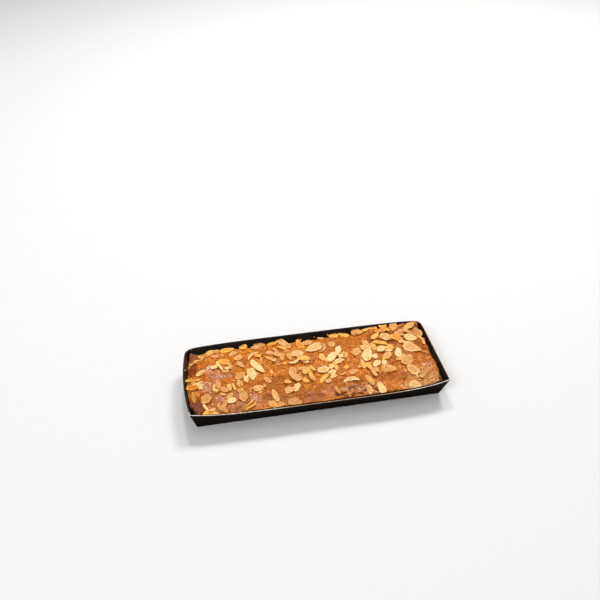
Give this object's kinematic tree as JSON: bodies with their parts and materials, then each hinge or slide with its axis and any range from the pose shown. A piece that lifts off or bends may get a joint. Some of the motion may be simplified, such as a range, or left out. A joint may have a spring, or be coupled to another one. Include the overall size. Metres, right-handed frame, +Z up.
{
  "type": "filled speculaas bar",
  "caption": "Long slab of spiced filled cake with a glossy crust and baked-on almond flakes, in its thin black card tray.",
  "frame": {"origin": "middle of the whole object's box, on the surface that the tray stands on", "axes": "+X along the bar to its right end, +Y to the back, +Z up"},
  "size_m": [0.3008, 0.1152, 0.0299],
  "materials": {
    "crust": "baked spiced dough with an egg-washed glaze, glossy caramel brown, matt where the crumb is bare",
    "almond": "thin almond slices, pale cream in the middle and toasted golden at the edges",
    "board": "black coated card, satin, with a raw cream edge where it is cut"
  },
  "bodies": {
    "root": {"speculaas_bar": "crust", "baking_tray": "board"}
  },
  "joints": []
}
